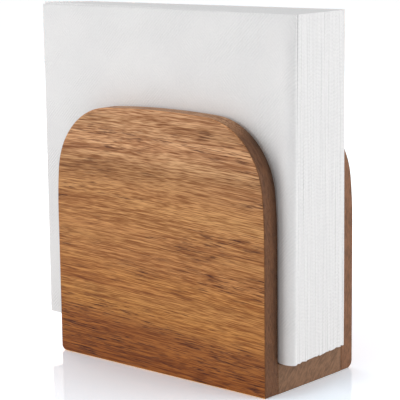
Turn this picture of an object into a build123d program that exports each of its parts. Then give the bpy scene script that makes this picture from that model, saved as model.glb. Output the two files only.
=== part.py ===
"""Wooden napkin holder filled with folded paper napkins, in millimetres.

X runs along the boards, Y from the front board to the back board, and Z up.
The origin is the centre of the underside, on the table.
"""

import os
from math import asin, cos, degrees, radians, sin

from build123d import *

# The three boards
board_width = 140.0
board_height = 134.0
board_thickness = 10.0
base_thickness = 15.0
slot_depth = 51.0

# Outline of an upright board: a straight side, then three arcs that run into one another
shoulder_radius = 220.0
shoulder_angle = 6.0
corner_radius = 38.0
crown_radius = 540.0

# Sanded edges: the outer rims are rounded, and the inner rims only eased
edge_round = 0.9
inner_ease = 0.5
foot_round = 3.0
heel_round = 4.0
base_end_round = 0.4

# Blind dowels between the base board and each upright board
dowel_diameter = 6.0
dowel_flat_count = 16
dowel_length = 25.0
dowel_chamfer = 0.8
dowel_inset = 22.0
dowel_cover = 3.0
dowel_side_clearance = 0.05
dowel_end_clearance = 0.3
dowel_places = ("left", "middle", "right")

# One napkin: a sheet folded in half twice, so it stands as four leaves
napkin_width = 168.8
napkin_height = 167.3
leaf_thickness = 0.15
leaf_gap = 0.2
crease_flat_count = 8

# The row of napkins in the slot
front_gap = 2.0
least_back_gap = 4.0
napkin_lift = 0.2
front_right_edge = 78.7
stack_right_edge = 78.0
stack_right_drift = -3.2
front_tilt = 0.25
stack_tilt = 0.6
edge_scatter = 0.3
tilt_scatter = 0.06
scatter_step = 2.4

# Worked out from the sizes above
half_width = board_width / 2
shoulder_in = shoulder_radius * (1 - cos(radians(shoulder_angle)))
corner_run = corner_radius * cos(radians(shoulder_angle))
crown_sine = (half_width - shoulder_in - corner_run) / (crown_radius - corner_radius)
crown_angle = degrees(asin(crown_sine))
corner_angle = 90 - shoulder_angle - crown_angle
shoulder_rise = shoulder_radius * sin(radians(shoulder_angle))
corner_rise = corner_radius * (cos(radians(crown_angle)) - sin(radians(shoulder_angle)))
crown_rise = crown_radius * (1 - cos(radians(crown_angle)))
side_height = board_height - shoulder_rise - corner_rise - crown_rise

front_inner_face = Plane.XZ.offset(slot_depth / 2)
back_inner_face = Plane.XZ.offset(-slot_depth / 2)
to_front = 1
to_back = -1

dowel_pitch = (board_width - 2 * dowel_inset) / (len(dowel_places) - 1)
dowel_height = base_thickness / 2
socket_radius = dowel_diameter / 2 + dowel_side_clearance
board_socket_depth = board_thickness - dowel_cover
base_socket_depth = dowel_length + 2 * dowel_end_clearance - board_socket_depth

leaf_pitch = leaf_thickness + leaf_gap
napkin_pitch = 4 * leaf_pitch
outer_turn = 2 * leaf_thickness + 1.5 * leaf_gap
inner_turn = leaf_thickness + leaf_gap / 2
first_napkin_y = -slot_depth / 2 + front_gap + outer_turn
napkin_room = slot_depth - front_gap - least_back_gap + leaf_gap
napkin_count = int(napkin_room / napkin_pitch)


def board_outline(inner_face):
    """The outline of an upright board, drawn on its inner face."""
    with BuildSketch(inner_face) as outline:
        with BuildLine():
            foot = Line((0, 0), (half_width, 0))
            side = Line(foot @ 1, (half_width, side_height))
            shoulder = JernArc(side @ 1, side % 1, shoulder_radius, shoulder_angle)
            corner = JernArc(shoulder @ 1, shoulder % 1, corner_radius, corner_angle)
            JernArc(corner @ 1, corner % 1, crown_radius, crown_angle)
            mirror(about=Plane.YZ)
        make_face()
    return outline.sketch


def dowel_sockets(inner_face):
    """The row of round dowel sockets where a board and the base board meet."""
    with BuildSketch(inner_face) as sockets:
        with Locations((0, dowel_height)):
            with GridLocations(dowel_pitch, 0, len(dowel_places), 1):
                Circle(socket_radius)
    return sockets.sketch


def rim(board, outward):
    """The edges round a broad face of an upright board, on the side that is named."""
    faces = board.faces().filter_by(Axis.Y).sort_by(Axis.Y)
    face = faces[0] if outward == to_front else faces[-1]
    return face.outer_wire().edges()


def foot_corners(board):
    """The two lower corners of an upright board, from left to right."""
    return board.edges().filter_by(Axis.Y).group_by(Axis.Z)[0].sort_by(Axis.X)


def crease(radius, mode=Mode.ADD):
    """The turn of a crease, as flats round a circle: paper bends in small steps, not in a smooth roll."""
    half_step = 180 / crease_flat_count
    RegularPolygon(radius, crease_flat_count, major_radius=False, rotation=half_step, mode=mode)


def leaf_section(place):
    """A napkin in plan: four leaves, with one turn nested in the other at the right edge."""
    run = napkin_width - outer_turn
    with BuildSketch(place) as section:
        with Locations((-outer_turn, 0)):
            for turn in (outer_turn, inner_turn):
                hollow = turn - leaf_thickness
                crease(turn)
                Rectangle(run, 2 * turn, align=(Align.MAX, Align.CENTER))
                crease(hollow, mode=Mode.SUBTRACT)
                Rectangle(run, 2 * hollow, align=(Align.MAX, Align.CENTER), mode=Mode.SUBTRACT)
    return section.sketch


def top_turn_section(place):
    """The napkin's first crease seen from its end: two half rings, each joining a pair of leaves."""
    left_end = place.from_local_coords((-napkin_width, 0, napkin_height - inner_turn))
    with BuildSketch(Plane(left_end, x_dir=place.y_dir, z_dir=place.x_dir)) as section:
        with Locations((-leaf_pitch, 0), (leaf_pitch, 0)):
            crease(inner_turn)
            crease(leaf_gap / 2, mode=Mode.SUBTRACT)
        Rectangle(4 * leaf_pitch, inner_turn, align=(Align.CENTER, Align.MAX), mode=Mode.SUBTRACT)
    return section.sketch


def napkin_place(number):
    """The plane at a napkin's lower right corner. Number 0 is at the front, and each leans its own way."""
    share = number / (napkin_count - 1)
    if number == 0:
        tilt = front_tilt
        right = front_right_edge
    else:
        tilt = stack_tilt * (1 - share) + tilt_scatter * sin(scatter_step * number)
        right = stack_right_edge + stack_right_drift * share + edge_scatter * cos(scatter_step * number)
    turn = radians(tilt)
    lift = napkin_lift + napkin_width * max(0, -sin(turn))
    corner = (right, first_napkin_y + number * napkin_pitch, base_thickness + lift)
    return Plane(corner, x_dir=(cos(turn), 0, -sin(turn)), z_dir=(sin(turn), 0, cos(turn)))


os.makedirs("parts", exist_ok=True)

with BuildPart() as front_board:
    extrude(board_outline(front_inner_face), amount=to_front * board_thickness)
    fillet(foot_corners(front_board)[0], foot_round)
    fillet(foot_corners(front_board)[-1], edge_round)
    fillet(rim(front_board, to_front), edge_round)
    chamfer(rim(front_board, to_back), inner_ease)
    extrude(dowel_sockets(front_inner_face), amount=to_front * board_socket_depth, mode=Mode.SUBTRACT)
front_board.part.label = "front_board"
export_step(front_board.part, "parts/front_board.step")

with BuildPart() as back_board:
    extrude(board_outline(back_inner_face), amount=to_back * board_thickness)
    fillet(rim(back_board, to_back).sort_by(Axis.Z)[0], heel_round)
    fillet(rim(back_board, to_back) + foot_corners(back_board), edge_round)
    chamfer(rim(back_board, to_front), inner_ease)
    extrude(dowel_sockets(back_inner_face), amount=to_back * board_socket_depth, mode=Mode.SUBTRACT)
back_board.part.label = "back_board"
export_step(back_board.part, "parts/back_board.step")

with BuildPart() as base_board:
    with BuildSketch(Plane.XY):
        Rectangle(board_width, slot_depth)
    extrude(amount=base_thickness)
    fillet(base_board.faces().filter_by(Axis.X).edges(), base_end_round)
    extrude(dowel_sockets(front_inner_face), amount=-to_front * base_socket_depth, mode=Mode.SUBTRACT)
    extrude(dowel_sockets(back_inner_face), amount=-to_back * base_socket_depth, mode=Mode.SUBTRACT)
base_board.part.label = "base_board"
export_step(base_board.part, "parts/base_board.step")

for side, inner_face, outward in (("front", front_inner_face, to_front), ("back", back_inner_face, to_back)):
    board_end = inner_face.offset(outward * (board_socket_depth - dowel_end_clearance))
    for number, place in enumerate(dowel_places):
        with BuildPart() as dowel:
            with BuildSketch(board_end):
                with Locations((-half_width + dowel_inset + number * dowel_pitch, dowel_height)):
                    RegularPolygon(dowel_diameter / 2, dowel_flat_count)
            extrude(amount=-outward * dowel_length)
            chamfer(dowel.faces().filter_by(Axis.Y).edges(), dowel_chamfer)
        dowel.part.label = f"{side}_dowel_{place}"
        export_step(dowel.part, f"parts/{side}_dowel_{place}.step")

for number in range(napkin_count):
    place = napkin_place(number)
    with BuildPart() as napkin:
        extrude(leaf_section(place), amount=napkin_height - inner_turn)
        extrude(top_turn_section(place), amount=napkin_width - outer_turn)
    napkin.part.label = f"napkin_{number + 1:02d}"
    export_step(napkin.part, f"parts/napkin_{number + 1:02d}.step")
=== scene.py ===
"""Looks of the wooden napkin holder and its folded paper napkins.

Lengths are in metres, in the frame's axes.
"""

import math
import random

import bpy
import numpy as np
from mathutils import Matrix, Vector


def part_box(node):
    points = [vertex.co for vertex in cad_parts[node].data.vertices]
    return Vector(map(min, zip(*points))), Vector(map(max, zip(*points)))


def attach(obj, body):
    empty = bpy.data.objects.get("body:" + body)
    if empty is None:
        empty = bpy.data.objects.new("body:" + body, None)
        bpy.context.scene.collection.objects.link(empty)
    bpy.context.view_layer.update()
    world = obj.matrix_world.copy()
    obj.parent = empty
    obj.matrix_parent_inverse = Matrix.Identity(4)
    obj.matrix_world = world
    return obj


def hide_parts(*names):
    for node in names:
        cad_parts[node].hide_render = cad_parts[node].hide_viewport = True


MM = 0.001
WHITE = (1.0, 1.0, 1.0, 1.0)
BLACK = (0.0, 0.0, 0.0, 1.0)

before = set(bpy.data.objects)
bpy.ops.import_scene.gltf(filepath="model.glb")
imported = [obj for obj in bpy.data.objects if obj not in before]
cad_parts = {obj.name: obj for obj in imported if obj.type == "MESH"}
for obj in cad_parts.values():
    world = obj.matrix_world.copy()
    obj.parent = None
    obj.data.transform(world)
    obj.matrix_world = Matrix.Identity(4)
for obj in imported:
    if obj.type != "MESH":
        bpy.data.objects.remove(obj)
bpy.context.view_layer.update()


# ---------------------------------------------------------------- camera and lights

CAMERA_AZIMUTH = 41.286
CAMERA_ELEVATION = 10.219
CAMERA_ROLL = -0.73
CAMERA_DISTANCE = 0.78067
CAMERA_LENS = 136.5
TARGET = Vector((-0.7, -0.5, 84.06)) * MM
LIGHT_DISTANCE = 1.6


def direction(azimuth, elevation):
    """The unit vector towards a point at that azimuth, to the right of the front, and elevation."""
    a, e = math.radians(azimuth), math.radians(elevation)
    return Vector((math.sin(a) * math.cos(e), -math.cos(a) * math.cos(e), math.sin(e)))


def looking_in(azimuth, elevation, distance):
    """The place and turn of a camera or a lamp that looks at the middle of the object from there."""
    towards = direction(azimuth, elevation)
    turn = towards.to_track_quat("Z", "Y").to_matrix().to_4x4()
    return Matrix.Translation(TARGET + distance * towards) @ turn


def new_object(name, data):
    """An object of the scene that shows the data."""
    thing = bpy.data.objects.new(name, data)
    bpy.context.scene.collection.objects.link(thing)
    return thing


def make_camera():
    """The camera at the photograph's viewing angle."""
    data = bpy.data.cameras.new("camera")
    data.lens = CAMERA_LENS
    camera = new_object("camera", data)
    roll = Matrix.Rotation(math.radians(CAMERA_ROLL), 4, "Z")
    camera.matrix_world = looking_in(CAMERA_AZIMUTH, CAMERA_ELEVATION, CAMERA_DISTANCE) @ roll
    bpy.context.scene.camera = camera


def make_softbox(name, azimuth, elevation, size, power):
    """A square area light that faces the middle of the object."""
    data = bpy.data.lights.new(name, "AREA")
    data.shape = "SQUARE"
    data.size = size
    data.energy = power
    new_object(name, data).matrix_world = looking_in(azimuth, elevation, LIGHT_DISTANCE)


# ---------------------------------------------------------------- material helpers


def srgb(red, green, blue):
    """A colour written from 0 to 255, as the linear colour that a shader takes."""
    channels = [c / 255 for c in (red, green, blue)]
    return tuple(c / 12.92 if c <= 0.04045 else ((c + 0.055) / 1.055) ** 2.4 for c in channels) + (1.0,)


class Graph:
    """The nodes of one material or of the world, added one after another."""

    def __init__(self, tree):
        self.tree = tree
        tree.nodes.clear()

    def put(self, socket, value):
        """Link an output to an input, or set the input to a plain value."""
        if isinstance(value, bpy.types.NodeSocket):
            self.tree.links.new(value, socket)
        elif value is not None:
            socket.default_value = value

    def node(self, kind, inputs=(), **settings):
        """A node with these settings, and inputs given by name."""
        node = self.tree.nodes.new(kind)
        for name, value in settings.items():
            setattr(node, name, value)
        for name, value in dict(inputs).items():
            self.put(node.inputs[name], value)
        return node

    def math(self, operation, *values):
        """A sum on numbers."""
        node = self.node("ShaderNodeMath", operation=operation)
        for socket, value in zip(node.inputs, values):
            self.put(socket, value)
        return node.outputs[0]

    def vector_math(self, operation, *values):
        """A sum on vectors or colours."""
        node = self.node("ShaderNodeVectorMath", operation=operation)
        for socket, value in zip(node.inputs, values):
            self.put(socket, value)
        return node.outputs[0]

    def parts(self, vector):
        """The X, Y and Z of a vector, by name."""
        return self.node("ShaderNodeSeparateXYZ", {"Vector": vector}).outputs

    def between(self, value, low, high, to_low=0.0, to_high=1.0, rise="SMOOTHSTEP"):
        """The value's rise from low to high, smooth or straight, as a number from to_low to to_high."""
        node = self.node("ShaderNodeMapRange", interpolation_type=rise)
        for socket, number in zip(node.inputs, (value, low, high, to_low, to_high)):
            self.put(socket, number)
        return node.outputs[0]

    def noise(self, vector, scale=1.0, detail=2.0, roughness=0.5, output=0):
        """Smooth noise as a number, or as a vector where output is 1."""
        inputs = {"Vector": vector, "Scale": scale, "Detail": detail, "Roughness": roughness}
        return self.node("ShaderNodeTexNoise", inputs).outputs[output]

    def ramp(self, value, stops):
        """Colours along a value: stops are pairs of a place from 0 to 1 and a colour."""
        node = self.node("ShaderNodeValToRGB", {"Fac": value})
        elements = node.color_ramp.elements
        while len(elements) < len(stops):
            elements.new(0.5)
        for element, (place, colour) in zip(elements, stops):
            element.position = place
            element.color = colour
        return node.outputs[0]

    def mix(self, share, first, second, blend="MIX"):
        """The first colour with a share of the second laid over it."""
        node = self.node("ShaderNodeMix", data_type="RGBA", blend_type=blend)
        self.put(node.inputs[0], share)
        self.put(node.inputs[6], first)
        self.put(node.inputs[7], second)
        return node.outputs[2]

    def bump(self, height, distance, normal=None):
        """The normal of a surface with a fine relief, whose depth is the distance."""
        inputs = {"Height": height, "Distance": distance, "Strength": 1.0, "Normal": normal}
        return self.node("ShaderNodeBump", inputs).outputs[0]


def new_material(name):
    """An empty material and the graph of its nodes."""
    material = bpy.data.materials.new(name)
    material.use_nodes = True
    return material, Graph(material.node_tree)


def finish_surface(graph, **inputs):
    """The principled shader and the material's output."""
    shader = graph.node("ShaderNodeBsdfPrincipled", {k.replace("_", " "): v for k, v in inputs.items()})
    graph.node("ShaderNodeOutputMaterial", {"Surface": shader.outputs[0]})


# ---------------------------------------------------------------- floor and world

WORLD_LIGHT = 0.48
FLOOR_SIZE = 60.0

# The matt part of the floor: what it throws back, and how bright the camera sees it, near and far.
# Near the object the camera sees it darker and bluer: painted shade round the object's foot, painted
# cooler against the warm light that the wood throws on it
FLOOR_BOUNCE = (0.80, 0.80, 0.80, 1.0)
FLOOR_SEEN_NEAR_PAINTED_SHADE = (1.43, 1.49, 1.59, 1.0)
FLOOR_SEEN_FAR = (2.10, 2.10, 2.10, 1.0)
FLOOR_NEAR = 0.11
FLOOR_FAR = 0.36

# The polish over it, which is warm, so that the mirror image of brown wood looks grey at the camera's angle
FLOOR_POLISH = (1.05, 0.80, 0.72)
FLOOR_IOR = 1.60
FLOOR_GLOSS_ROUGHNESS = 0.06


def make_world():
    """A plain pale surround, which the camera and reflections see as white."""
    world = bpy.data.worlds.new("surround")
    world.use_nodes = True
    bpy.context.scene.world = world
    graph = Graph(world.node_tree)
    path = graph.node("ShaderNodeLightPath")
    seen = graph.math("MAXIMUM", path.outputs["Is Camera Ray"], path.outputs["Is Glossy Ray"])
    seen = graph.math("MAXIMUM", seen, path.outputs["Is Transmission Ray"])
    light = graph.node("ShaderNodeBackground", {"Color": WHITE, "Strength": WORLD_LIGHT})
    white = graph.node("ShaderNodeBackground", {"Color": WHITE, "Strength": 1.0})
    both = graph.node("ShaderNodeMixShader")
    graph.put(both.inputs[0], seen)
    graph.put(both.inputs[1], light.outputs[0])
    graph.put(both.inputs[2], white.outputs[0])
    graph.node("ShaderNodeOutputWorld", {"Surface": both.outputs[0]})


def make_floor():
    """A white floor that keeps a soft shadow and a faint mirror image of the object, and is painted darker
    and bluer near it.
    """
    mesh = bpy.data.meshes.new("floor")
    half = FLOOR_SIZE / 2
    corners = [(-half, -half, 0), (half, -half, 0), (half, half, 0), (-half, half, 0)]
    mesh.from_pydata(corners, [], [(0, 1, 2, 3)])
    floor = new_object("floor", mesh)
    material, graph = new_material("polished_floor")
    path = graph.node("ShaderNodeLightPath")
    fresnel = graph.node("ShaderNodeFresnel", {"IOR": FLOOR_IOR})
    mirrored = graph.vector_math("MULTIPLY", fresnel.outputs[0], FLOOR_POLISH)
    under = graph.vector_math("SUBTRACT", (1.0, 1.0, 1.0), mirrored)
    place = graph.node("ShaderNodeTexCoord").outputs["Object"]
    away = graph.node("ShaderNodeVectorMath", {"Vector": place}, operation="LENGTH").outputs["Value"]
    # Painted shade: near the object the camera sees the floor darker and bluer
    seen = graph.mix(graph.between(away, FLOOR_NEAR, FLOOR_FAR), FLOOR_SEEN_NEAR_PAINTED_SHADE, FLOOR_SEEN_FAR)
    shade = graph.mix(path.outputs["Is Camera Ray"], FLOOR_BOUNCE, seen)
    matt = graph.node("ShaderNodeBsdfDiffuse", {"Color": graph.vector_math("MULTIPLY", under, shade)})
    gloss = graph.node("ShaderNodeBsdfGlossy", {"Color": mirrored, "Roughness": FLOOR_GLOSS_ROUGHNESS})
    both = graph.node("ShaderNodeAddShader")
    graph.put(both.inputs[0], matt.outputs[0])
    graph.put(both.inputs[1], gloss.outputs[0])
    graph.node("ShaderNodeOutputMaterial", {"Surface": both.outputs[0]})
    mesh.materials.append(material)


# ---------------------------------------------------------------- wood

# The lightest fibres of the wood, from the foot of a piece to its top. The boards' tones grow lighter and
# paler towards the top, partly the wood's own tone and partly a painted sheen; their lighter band near the
# top is a painted highlight
BOARD_TONES_AND_SHEEN = (
    (0.00, srgb(160, 93, 32)),
    (0.10, srgb(169, 104, 43)),
    (0.18, srgb(178, 114, 56)),
    (0.25, srgb(206, 143, 75)),
    (0.42, srgb(202, 144, 85)),
    (0.60, srgb(212, 156, 98)),
    (0.79, srgb(197, 146, 98)),
    (0.87, srgb(226, 177, 130)),
    (1.00, srgb(208, 161, 120)),
)
BASE_TONES = (
    (0.00, srgb(206, 158, 118)),
    (1.00, srgb(212, 164, 126)),
)

# What multiplies them in the darkest fibres, in pores, at growth lines, in some streaks and at rounded edges,
# which are paler partly from wear and partly from a painted sheen
DARK_FIBRE = srgb(176, 151, 127)
PORE_TINT = srgb(128, 98, 76)
LINE_TINT = srgb(226, 214, 202)
RED_TINT = (1.03, 0.99, 0.97, 1.0)
YELLOW_TINT = (1.01, 1.03, 0.99, 1.0)
EDGE_WEAR_AND_SHEEN_TINT = (1.7, 1.45, 1.2, 1.0)

# Whole colours: the painted highlight along the foot's edge, and the end grain of each board
PAINTED_FOOT_HIGHLIGHT = srgb(250, 184, 92)
FRONT_END_TONE = srgb(116, 77, 50)
BACK_END_TONE = srgb(136, 94, 66)
BASE_END_TONE = srgb(140, 105, 79)

# A noise lies between these nearly everywhere
NOISE_SPAN = (0.25, 0.75)

# The grain rises along X, and wanders: how often that changes in a metre, and how far it goes
GRAIN_SLOPE = 0.020
WANDER_RATE = 6.0
WANDER = (0.0, 0.012, 0.011)

# Each layer of grain: how often it changes in a metre along and across the fibres, and its weight
GRAIN_LAYERS = (
    ((2.5, 50.0), 0.036),
    ((2.2, 160.0), 0.060),
    ((3.0, 380.0), 0.100),
    ((5.0, 760.0), 0.115),
    ((10.0, 1300.0), 0.180),
    ((110.0, 1900.0), 0.440),
    ((36.0, 2900.0), 0.560),
)
GRAIN_REACH = 0.44
BAND_SHIFT = 0.06

# Streaks of another hue, and the dark lines that part the growth rings here and there
HUE_RATES = (5.0, 70.0)
HUE_SPAN = (0.30, 0.70)
RING_LINES = ((2.0, 150.0), (3.0, 230.0))
RING_LINE_WIDTH = 0.05
LINE_PATCH_RATES = (9.0, 90.0)
LINE_PATCH_SPAN = (0.38, 0.62)

# Pores, which crowd together in some bands and near the foot
PORE_RATES = (85.0, 1600.0)
PORE_SPAN = (0.50, 0.68)
CROWD_RATES = (12.0, 80.0)
CROWD_SPAN = (0.42, 0.64)
FEWEST_PORES = 0.08
FOOT_CROWD_SPAN = (0.26, 0.10)
FOOT_CROWD = 0.20

# A rounded edge is one that faces none of the three axes squarely
EDGE_FACING = (0.97, 0.80)
# How much paler the rounded edges are, from wear and from a painted sheen
EDGE_WEAR_AND_SHEEN = 0.3
# Below these shares of the piece's height the rounded foot edge gets a painted highlight of floor light
FOOT_HIGHLIGHT_SPAN = (0.015, 0.005)

# End grain, with rates along X, across the rays and along them
END_FACING = (0.2, 0.7)
FLECK_SPAN = (0.3, 0.7)
END_FLECK_RATES = (60.0, 330.0, 1300.0)
END_FLECK_SHADES = (0.64, 1.08)
END_RING_RATES = (5.0, 90.0, 240.0)
END_RING_SHADES = (-0.10, 0.10)

# A painted shadow of the napkins on the front board's end, darker towards its inner face. It sets in with
# height, in base heights
END_PAINTED_SHADOW = 0.46
END_PAINTED_SHADOW_WIDTH = 6.0 * MM
PAINTED_SHADOW_SETS_IN = (0.7, 1.6)

FIBRE_RELIEF = 0.5
WOOD_RELIEF_DEPTH = 0.06 * MM
WOOD_ROUGHNESS = 0.52
ROUGHNESS_CHANGE = 0.06
ROUGHNESS_REACH = 0.1
WOOD_SPECULAR = 0.25

DOWEL_RATES = (1400.0, 120.0, 1400.0)
DOWEL_TONES = (
    (0.00, srgb(196, 164, 124)),
    (1.00, srgb(222, 194, 154)),
)
DOWEL_ROUGHNESS = 0.6
DOWEL_RELIEF_DEPTH = 0.05 * MM


def grain_place(graph, place, shift):
    """Where a point of the piece lies in the tree, once its grain is made straight."""
    at = graph.vector_math("ADD", place, shift)
    slow = graph.noise(at, scale=WANDER_RATE, detail=0.5, output=1)
    wander = graph.vector_math("SUBTRACT", slow, (0.5, 0.5, 0.5))
    at = graph.vector_math("ADD", at, graph.vector_math("MULTIPLY", wander, WANDER))
    rise = graph.math("MULTIPLY", graph.parts(place)["X"], GRAIN_SLOPE)
    return graph.vector_math("ADD", at, graph.node("ShaderNodeCombineXYZ", {"Z": rise}).outputs[0])


def along_grain(graph, at, rates, detail=1.0):
    """Noise drawn out along the fibres. The rates are its changes in a metre along and across them."""
    lengthwise, across = rates
    stretched = graph.vector_math("MULTIPLY", at, (lengthwise, across, across))
    return graph.noise(stretched, detail=detail, roughness=0.7)


def add_streaks(graph, at, colour):
    """Make some streaks redder and some yellower, and part the growth rings with thin dark lines."""
    hue = graph.mix(graph.between(along_grain(graph, at, HUE_RATES), *HUE_SPAN), YELLOW_TINT, RED_TINT)
    colour = graph.mix(1.0, colour, hue, "MULTIPLY")
    for rates in RING_LINES:
        from_line = graph.math("ABSOLUTE", graph.math("SUBTRACT", along_grain(graph, at, rates), 0.5))
        strength = graph.between(along_grain(graph, at, LINE_PATCH_RATES), *LINE_PATCH_SPAN)
        line = graph.math("MULTIPLY", graph.between(from_line, RING_LINE_WIDTH, 0.0), strength)
        colour = graph.mix(line, colour, LINE_TINT, "MULTIPLY")
    return colour


def pores(graph, at, up):
    """The strength of the pores, which are short dark dashes."""
    dashes = graph.between(along_grain(graph, at, PORE_RATES, detail=2.0), *PORE_SPAN)
    at_foot = graph.between(up, *FOOT_CROWD_SPAN, 0.0, FOOT_CROWD)
    crowd = graph.math("ADD", along_grain(graph, at, CROWD_RATES, detail=2.0), at_foot)
    return graph.math("MULTIPLY", dashes, graph.between(crowd, *CROWD_SPAN, FEWEST_PORES, 1.0))


def wear_and_highlight_edges(graph, facing, up, colour):
    """Make the rounded edges a little paler, partly wear and partly a painted sheen, and paint a highlight on
    the foot's edge.
    """
    squarest = graph.math("MAXIMUM", graph.math("MAXIMUM", facing["X"], facing["Y"]), facing["Z"])
    rounded_edge = graph.between(squarest, *EDGE_FACING)
    # Rounded edges paler: partly wear, partly a painted sheen
    colour = graph.mix(graph.math("MULTIPLY", rounded_edge, EDGE_WEAR_AND_SHEEN), colour, EDGE_WEAR_AND_SHEEN_TINT, "MULTIPLY")
    # Painted highlight on the foot's edge, for light thrown up from the floor
    foot_highlight = graph.math("MULTIPLY", rounded_edge, graph.between(up, *FOOT_HIGHLIGHT_SPAN))
    return graph.mix(foot_highlight, colour, PAINTED_FOOT_HIGHLIGHT)


def end_grain(graph, at, ray_angle):
    """The shade of the end grain, with growth rings and flecks along the rays."""
    turned = graph.node("ShaderNodeMapping", {"Vector": at})
    turned.inputs["Rotation"].default_value = (math.radians(ray_angle), 0, 0)
    flecks = graph.noise(graph.vector_math("MULTIPLY", turned.outputs[0], END_FLECK_RATES), detail=2.0)
    rings = graph.noise(graph.vector_math("MULTIPLY", turned.outputs[0], END_RING_RATES), detail=2.0)
    flecks = graph.between(flecks, *FLECK_SPAN, *END_FLECK_SHADES)
    rings = graph.between(rings, *FLECK_SPAN, *END_RING_SHADES)
    return graph.math("ADD", flecks, rings)


def with_painted_shadow(graph, shade, place, inner_face, base_height):
    """The shade of an end, darker towards the board's inner face and above the base board: a painted shadow
    of the napkins.
    """
    # Painted shadow of the napkins: darker towards the inner face
    depth = graph.math("SUBTRACT", inner_face, place["Y"])
    shadowed = graph.between(depth, 0.0, END_PAINTED_SHADOW_WIDTH, END_PAINTED_SHADOW, 1.0)
    above = graph.between(place["Z"], *(base_height * share for share in PAINTED_SHADOW_SETS_IN))
    return graph.math("MULTIPLY", shade, graph.between(above, 0.0, 1.0, 1.0, shadowed, rise="LINEAR"))


def wood_material(name, tones_and_sheen, height, shift, end_tone, ray_angle, shadowed_from=None):
    """Oiled acacia with its grain along X, toned from the foot of the piece to its height; on the boards that
    tone holds a painted sheen towards the top.

    The shift picks the piece's place in the tree, and the angle turns the flecks of its end grain. An end
    that gets a painted shadow beside the napkins is given as the Y of the board's inner face and the base's
    height.
    """
    material, graph = new_material(name)
    coordinates = graph.node("ShaderNodeTexCoord").outputs
    place = graph.parts(coordinates["Object"])
    facing = graph.parts(graph.vector_math("ABSOLUTE", coordinates["Normal"]))
    at = grain_place(graph, coordinates["Object"], shift)
    up = graph.math("DIVIDE", place["Z"], height)

    layers = [(along_grain(graph, at, rates), weight) for rates, weight in GRAIN_LAYERS]
    bands, fibres = layers[0][0], layers[-1][0]
    grain = 0.0
    for noise, weight in layers:
        grain = graph.math("ADD", graph.between(noise, *NOISE_SPAN, -weight, weight, rise="LINEAR"), grain)

    banded = graph.math("ADD", up, graph.between(bands, *NOISE_SPAN, -BAND_SHIFT, BAND_SHIFT))
    light = graph.between(grain, -GRAIN_REACH, GRAIN_REACH, rise="LINEAR")
    # On the boards these tones hold a painted sheen towards the top and a painted highlight near it
    colour = graph.ramp(banded, tones_and_sheen)
    colour = graph.mix(1.0, colour, graph.mix(light, DARK_FIBRE, WHITE), "MULTIPLY")
    colour = add_streaks(graph, at, colour)
    pore = pores(graph, at, up)
    colour = graph.mix(pore, colour, PORE_TINT, "MULTIPLY")
    colour = wear_and_highlight_edges(graph, facing, up, colour)

    shade = end_grain(graph, at, ray_angle)
    # Painted shadow of the napkins on the front board's end
    if shadowed_from:
        shade = with_painted_shadow(graph, shade, place, *shadowed_from)
    colour = graph.mix(graph.between(facing["X"], *END_FACING), colour, graph.mix(shade, BLACK, end_tone))

    relief = graph.math("SUBTRACT", graph.math("MULTIPLY", fibres, FIBRE_RELIEF), pore)
    roughest, smoothest = WOOD_ROUGHNESS + ROUGHNESS_CHANGE, WOOD_ROUGHNESS - ROUGHNESS_CHANGE
    finish_surface(
        graph,
        Base_Color=colour,
        Roughness=graph.between(grain, -ROUGHNESS_REACH, ROUGHNESS_REACH, roughest, smoothest),
        Normal=graph.bump(relief, WOOD_RELIEF_DEPTH),
        Specular_IOR_Level=WOOD_SPECULAR,
    )
    return material


def dowel_material():
    """Plain beech with short fine flecks along the dowel."""
    material, graph = new_material("beech_dowel")
    place = graph.node("ShaderNodeTexCoord").outputs["Object"]
    flecks = graph.noise(graph.vector_math("MULTIPLY", place, DOWEL_RATES), detail=3.0)
    colour = graph.ramp(graph.between(flecks, *FLECK_SPAN), DOWEL_TONES)
    bump = graph.bump(flecks, DOWEL_RELIEF_DEPTH)
    finish_surface(graph, Base_Color=colour, Roughness=DOWEL_ROUGHNESS, Normal=bump)
    return material


# ---------------------------------------------------------------- paper

PAPER = srgb(241, 241, 241)
PAPER_SHADE = srgb(230, 230, 231)
PAPER_ROUGHNESS = 0.9
PAPER_SPECULAR = 0.15

# The embossing is in two directions, each strongest in patches of its own
EMBOSS_PITCH = 1.3 * MM
EMBOSS_DEPTH = 0.05 * MM
PATCH_RATE = 38.0
RISING_SPAN = (0.42, 0.62)
FALLING_SPAN = (0.52, 0.34)
FALLING_STRENGTH = 0.7

FLUFF_RATE = 900.0
FLUFF_DEPTH = 0.05 * MM
CLOUD_RATE = 30.0

# How much each part weighs in the paper's shade. The embossing's part darkens its troughs: painted shade
EMBOSS_PAINTED_SHADE = 0.10
FLUFF_SHADE = 0.5
CLOUD_SHADE = 0.5
SHADE_SPAN = (0.2, 0.8)


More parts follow.
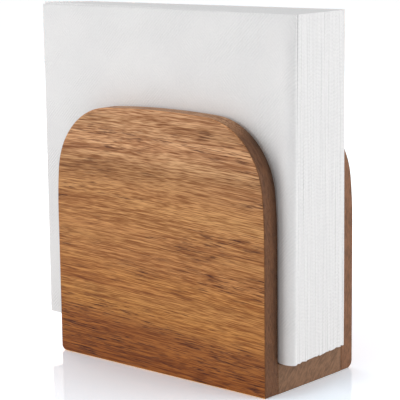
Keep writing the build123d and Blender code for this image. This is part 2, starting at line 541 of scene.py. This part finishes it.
def paper_material():
    """Soft white tissue with faint diagonal embossing, laid on the sheet by its own coordinates."""
    material, graph = new_material("embossed_tissue")
    place = graph.node("ShaderNodeUVMap", uv_map="sheet").outputs[0]
    sheet = graph.parts(place)
    rate = 2 * math.pi / (EMBOSS_PITCH * math.sqrt(2))
    rising = graph.math("SUBTRACT", sheet["X"], sheet["Y"])
    rising = graph.math("SINE", graph.math("MULTIPLY", rising, rate))
    falling = graph.math("ADD", sheet["X"], sheet["Y"])
    falling = graph.math("SINE", graph.math("MULTIPLY", falling, rate))
    patches = graph.noise(place, scale=PATCH_RATE, detail=2.0)
    rising = graph.math("MULTIPLY", rising, graph.between(patches, *RISING_SPAN))
    falling = graph.math("MULTIPLY", falling, graph.between(patches, *FALLING_SPAN, 0.0, FALLING_STRENGTH))
    ridges = graph.math("ADD", rising, falling)
    fluff = graph.noise(place, scale=FLUFF_RATE, detail=4.0, roughness=0.6)
    clouds = graph.noise(place, scale=CLOUD_RATE, detail=3.0)

    # Painted shade along the embossing's troughs
    shade = graph.math("MULTIPLY", ridges, EMBOSS_PAINTED_SHADE)
    shade = graph.math("ADD", shade, graph.math("MULTIPLY", fluff, FLUFF_SHADE))
    shade = graph.math("ADD", shade, graph.math("MULTIPLY", clouds, CLOUD_SHADE))
    colour = graph.ramp(graph.between(shade, *SHADE_SPAN), ((0.0, PAPER_SHADE), (1.0, PAPER)))
    normal = graph.bump(fluff, FLUFF_DEPTH, normal=graph.bump(ridges, EMBOSS_DEPTH))
    finish_surface(
        graph,
        Base_Color=colour,
        Roughness=PAPER_ROUGHNESS,
        Normal=normal,
        Specular_IOR_Level=PAPER_SPECULAR,
    )
    return material


# ---------------------------------------------------------------- napkins

LEAF_THICKNESS = 0.20 * MM
NAPKIN_FULLNESS = 0.22 * MM
CREASE_DEPTH = 0.15 * MM
SHARP_ANGLE = 60.0

# The stack's right edges keep this share of their scatter, and each has a slight wave and a foot a little off
EDGE_SCATTER = 0.10
EDGE_WAVE = 0.08 * MM
EDGE_WAVE_RATE = 7
EDGE_WAVE_FADE = 8
FOOT_SCATTER = 0.6 * MM

# The front napkin's front leaves swell near the crease, and bend back to it in a soft curve
FRONT_CREASE_DEPTH = 0.6 * MM
SWELLING = 1.9 * MM
SWELLING_START = 13.0 * MM
SWELLING_PEAK = 4.5 * MM
SWELLING_CURVE = 0.8

FLAT_STEPS = 20
CREASE_STEPS = 6
RING_STEPS = 4
LOWER_RIGHT, UPPER_RIGHT = 1, 3


def corners_of(node):
    """The four corners of a napkin's solid in X and Z: lower left, lower right, upper left, upper right."""
    points = [v.co for v in node.data.vertices]

    def extreme(side, up):
        found = max(points, key=lambda p: side * p.x + up * p.z)
        return np.array((found.x, found.z))

    return extreme(-1, -1), extreme(1, -1), extreme(-1, 1), extreme(1, 1)


def evened_corners(names):
    """The corners of each napkin, with the right edges behind the front one brought nearer to one plane."""
    corners = np.array([corners_of(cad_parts[name]) for name in names])
    order = np.arange(1, len(names))
    for corner in (LOWER_RIGHT, UPPER_RIGHT):
        across = corners[1:, corner, 0]
        even = np.polyval(np.polyfit(order, across, 1), order)
        corners[1:, corner, 0] = even + EDGE_SCATTER * (across - even)
    return corners


def half_turn(steps):
    """The angles inside a half turn that is made in so many steps."""
    return [-math.pi / 2 + math.pi * k / steps for k in range(1, steps)]


def across_the_fold(width, turn):
    """Steps over the second crease, closer together near it, as (distance from the left edge, side).

    The side runs from -1 on the front leaves to 1 on the back leaves.
    """
    flat = [(width - turn) * (1 - (1 - k / FLAT_STEPS) ** 2) for k in range(FLAT_STEPS + 1)]
    front = [(x, -1.0) for x in flat]
    crease = [(width - turn + turn * math.cos(a), math.sin(a)) for a in half_turn(CREASE_STEPS)]
    back = [(x, 1.0) for x in reversed(flat)]
    return front + crease + back


def over_the_fold(height, ring, near, far):
    """Steps over the first crease, as (height, distance from the napkin's middle plane)."""
    flat = [(height - ring) * k / FLAT_STEPS for k in range(FLAT_STEPS + 1)]
    middle, half = (near + far) / 2, (far - near) / 2
    inner = [(z, near) for z in flat]
    bend = half_turn(RING_STEPS)
    crease = [(height - ring + ring * math.cos(a), middle + half * math.sin(a)) for a in bend]
    outer = [(z, far) for z in reversed(flat)]
    return inner + crease + outer


def swelling(from_crease, from_top):
    """How far the front leaves of the front napkin bulge, at that distance from its crease and its top."""
    most = SWELLING * min(from_top / SWELLING_START, 1)
    if from_crease < SWELLING_PEAK:
        return most * (1 - (1 - from_crease / SWELLING_PEAK) ** 2) ** SWELLING_CURVE
    share = min((from_crease - SWELLING_PEAK) / (SWELLING_START - SWELLING_PEAK), 1)
    return most * (1 - share ** 2 * (3 - 2 * share))


def grid_faces(columns, rows):
    """The faces between the points of a grid, which are listed column by column."""
    faces = []
    for i in range(columns - 1):
        for j in range(rows - 1):
            here = i * rows + j
            faces.append((here, here + rows, here + rows + 1, here + 1))
    return faces


def thicken(sheet, thickness):
    """Give a sheet its thickness, with smooth faces and sharp cut edges."""
    solid = sheet.modifiers.new("thickness", "SOLIDIFY")
    solid.thickness = thickness
    solid.offset = 0.0
    bpy.context.view_layer.update()
    shown = sheet.evaluated_get(bpy.context.evaluated_depsgraph_get())
    mesh = bpy.data.meshes.new_from_object(shown)
    sheet.modifiers.clear()
    sheet.data = mesh
    mesh.shade_smooth()
    mesh.set_sharp_from_angle(angle=math.radians(SHARP_ANGLE))


def make_napkin(name, number, corners, paper):
    """One napkin: a square sheet folded over the top and then round the right edge, where its node stands."""
    low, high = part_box(name)
    lower_left, lower_right, upper_left, upper_right = corners
    width = float(np.linalg.norm(lower_right - lower_left))
    height = float(np.linalg.norm(upper_left - lower_left))
    thickness = high.y - low.y + NAPKIN_FULLNESS
    middle = (high.y + low.y) / 2
    pitch = (thickness - LEAF_THICKNESS) / 3

    # Only the first of these six draws is used. The others keep the draws after them as they are
    chance = random.Random(number)
    phase = [chance.uniform(0, 2 * math.pi) for _ in range(6)][0]
    cut = (chance.uniform(0, 1), chance.uniform(0, 1))
    lower_right = lower_right + (0, chance.uniform(0, FOOT_SCATTER))

    rows = over_the_fold(height, CREASE_DEPTH, pitch / 2, 1.5 * pitch)
    columns = across_the_fold(width, FRONT_CREASE_DEPTH if number == 0 else CREASE_DEPTH)
    points = []
    sheet_places = []
    for i, (x, side) in enumerate(columns):
        for j, (z, distance) in enumerate(rows):
            s, t = x / width, z / height
            flat = (1 - s) * (1 - t) * lower_left + s * (1 - t) * lower_right
            flat = flat + (1 - s) * t * upper_left + s * t * upper_right
            wave = EDGE_WAVE * math.sin(EDGE_WAVE_RATE * t + phase) * s ** EDGE_WAVE_FADE
            bulge = swelling(width - x, height - z) * (1 - side) / 2 if number == 0 else 0.0
            points.append((flat[0] + wave, middle + side * distance - bulge, flat[1]))
            unfolded_x = x if i < len(columns) / 2 else 2 * width - x
            unfolded_z = z if j > len(rows) / 2 else 2 * height - z
            sheet_places.append((unfolded_x + cut[0], unfolded_z + cut[1]))

    mesh = bpy.data.meshes.new(name + "_sheet")
    mesh.from_pydata(points, [], grid_faces(len(columns), len(rows)))
    layer = mesh.uv_layers.new(name="sheet")
    for loop in mesh.loops:
        layer.data[loop.index].uv = sheet_places[loop.vertex_index]
    mesh.materials.append(paper)
    napkin = new_object(name + "_folded", mesh)
    thicken(napkin, LEAF_THICKNESS)
    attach(napkin, "front_napkin" if number == 0 else "napkin_stack")
    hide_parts(name)


# ---------------------------------------------------------------- the whole scene


def dress(name, material):
    """Give a node of the frame one material."""
    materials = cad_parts[name].data.materials
    materials.clear()
    materials.append(material)


make_camera()
make_world()
make_floor()
make_softbox("front_light", azimuth=-28, elevation=14, size=1.1, power=11.0)
make_softbox("back_light", azimuth=-115, elevation=20, size=1.2, power=6.0)
make_softbox("right_light", azimuth=115, elevation=22, size=1.3, power=12.6)

board_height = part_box("front_board")[1].z
base_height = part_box("base_board")[1].z
inner_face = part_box("front_board")[1].y
front_wood = wood_material(
    "front_wood",
    BOARD_TONES_AND_SHEEN,
    board_height,
    shift=(0.13, 0.02, 0.31),
    end_tone=FRONT_END_TONE,
    ray_angle=86.0,
    # The front board's end gets a painted shadow of the napkins
    shadowed_from=(inner_face, base_height),
)
back_wood = wood_material(
    "back_wood",
    BOARD_TONES_AND_SHEEN,
    board_height,
    shift=(0.71, 0.44, 0.05),
    end_tone=BACK_END_TONE,
    ray_angle=94.0,
)
base_wood = wood_material(
    "base_wood",
    BASE_TONES,
    base_height,
    shift=(0.37, 0.83, 0.62),
    end_tone=BASE_END_TONE,
    ray_angle=-50.0,
)
dress("front_board", front_wood)
dress("back_board", back_wood)
dress("base_board", base_wood)

beech = dowel_material()
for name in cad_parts:
    if "dowel" in name:
        dress(name, beech)

paper = paper_material()
napkin_names = sorted(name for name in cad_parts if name.startswith("napkin_"))
for number, (name, corners) in enumerate(zip(napkin_names, evened_corners(napkin_names))):
    make_napkin(name, number, corners, paper)

bpy.context.scene.view_settings.view_transform = "Standard"
bpy.context.view_layer.update()
